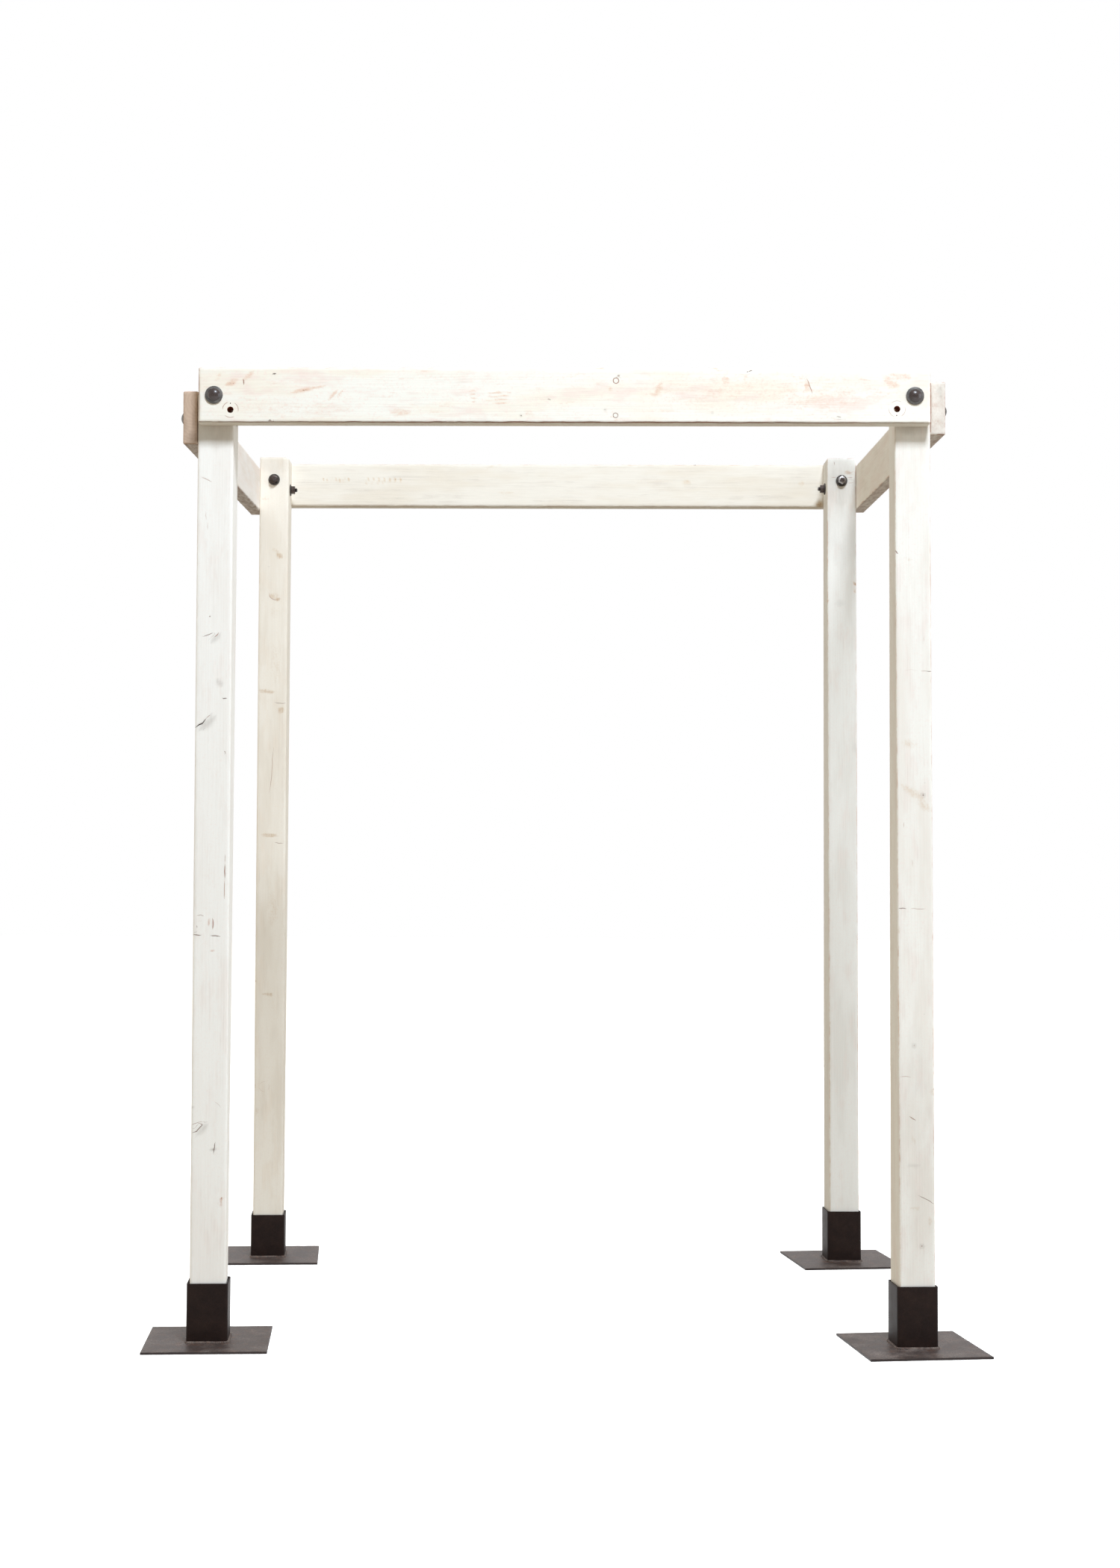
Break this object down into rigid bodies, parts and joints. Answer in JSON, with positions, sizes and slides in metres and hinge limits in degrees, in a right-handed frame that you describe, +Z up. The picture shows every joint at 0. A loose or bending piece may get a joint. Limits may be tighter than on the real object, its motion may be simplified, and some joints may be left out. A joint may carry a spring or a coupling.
{
  "type": "garden arch",
  "caption": "Walk-through timber arch frame: square whitewashed posts in loose steel plate feet, tied at the top by bolted planks.",
  "frame": {"origin": "on the ground, in the middle of the box that the four base plates cover", "axes": "+X to the right seen from the front, +Y through the arch to the back, +Z up"},
  "size_m": [2.0766, 1.5616, 2.4451],
  "materials": {
    "post_timber": "worn whitewash over softwood",
    "beam_timber": "worn whitewash over softwood",
    "plate_steel": "dusty mill scale",
    "socket_steel": "dark brown-black coating",
    "weld_steel": "rust-brown weld",
    "bolt_steel": "dull dark steel",
    "washer_steel": "weathered zinc",
    "nut_steel": "weathered zinc"
  },
  "bodies": {
    "timber_frame": {"front_left_post": "post_timber", "front_right_post": "post_timber", "rear_left_post": "post_timber", "rear_right_post": "post_timber", "front_beam": "beam_timber", "rear_beam": "beam_timber", "left_side_beam": "beam_timber", "right_side_beam": "beam_timber", "front_beam_bolts": "bolt_steel", "front_beam_head_washers": "washer_steel", "front_beam_nut_washers": "washer_steel", "front_beam_nuts": "nut_steel", "rear_beam_bolts": "bolt_steel", "rear_beam_head_washers": "washer_steel", "rear_beam_nut_washers": "washer_steel", "rear_beam_nuts": "nut_steel", "left_side_beam_bolts": "bolt_steel", "left_side_beam_head_washers": "washer_steel", "left_side_beam_nut_washers": "washer_steel", "left_side_beam_nuts": "nut_steel", "right_side_beam_bolts": "bolt_steel", "right_side_beam_head_washers": "washer_steel", "right_side_beam_nut_washers": "washer_steel", "right_side_beam_nuts": "nut_steel"},
    "front_left_foot": {"front_left_base_plate": "plate_steel", "front_left_socket": "socket_steel", "front_left_weld_bead": "weld_steel"},
    "front_right_foot": {"front_right_base_plate": "plate_steel", "front_right_socket": "socket_steel", "front_right_weld_bead": "weld_steel"},
    "rear_left_foot": {"rear_left_base_plate": "plate_steel", "rear_left_socket": "socket_steel", "rear_left_weld_bead": "weld_steel"},
    "rear_right_foot": {"rear_right_base_plate": "plate_steel", "rear_right_socket": "socket_steel", "rear_right_weld_bead": "weld_steel"}
  },
  "joints": [
    {"name": "frame_lift", "type": "slide", "parent": "front_left_foot", "child": "timber_frame", "axis": [0, 0, 1], "range_m": [0, 0.165]},
    {"name": "front_right_foot_stay", "type": "slide", "parent": "timber_frame", "child": "front_right_foot", "axis": [0, 0, -1], "range_m": [0, 0.165]},
    {"name": "rear_left_foot_stay", "type": "slide", "parent": "timber_frame", "child": "rear_left_foot", "axis": [0, 0, -1], "range_m": [0, 0.165]},
    {"name": "rear_right_foot_stay", "type": "slide", "parent": "timber_frame", "child": "rear_right_foot", "axis": [0, 0, -1], "range_m": [0, 0.165]}
  ],
  "couplings": [
    {"joint": "front_right_foot_stay", "follows": "frame_lift", "ratio": 1},
    {"joint": "rear_left_foot_stay", "follows": "frame_lift", "ratio": 1},
    {"joint": "rear_right_foot_stay", "follows": "frame_lift", "ratio": 1}
  ]
}
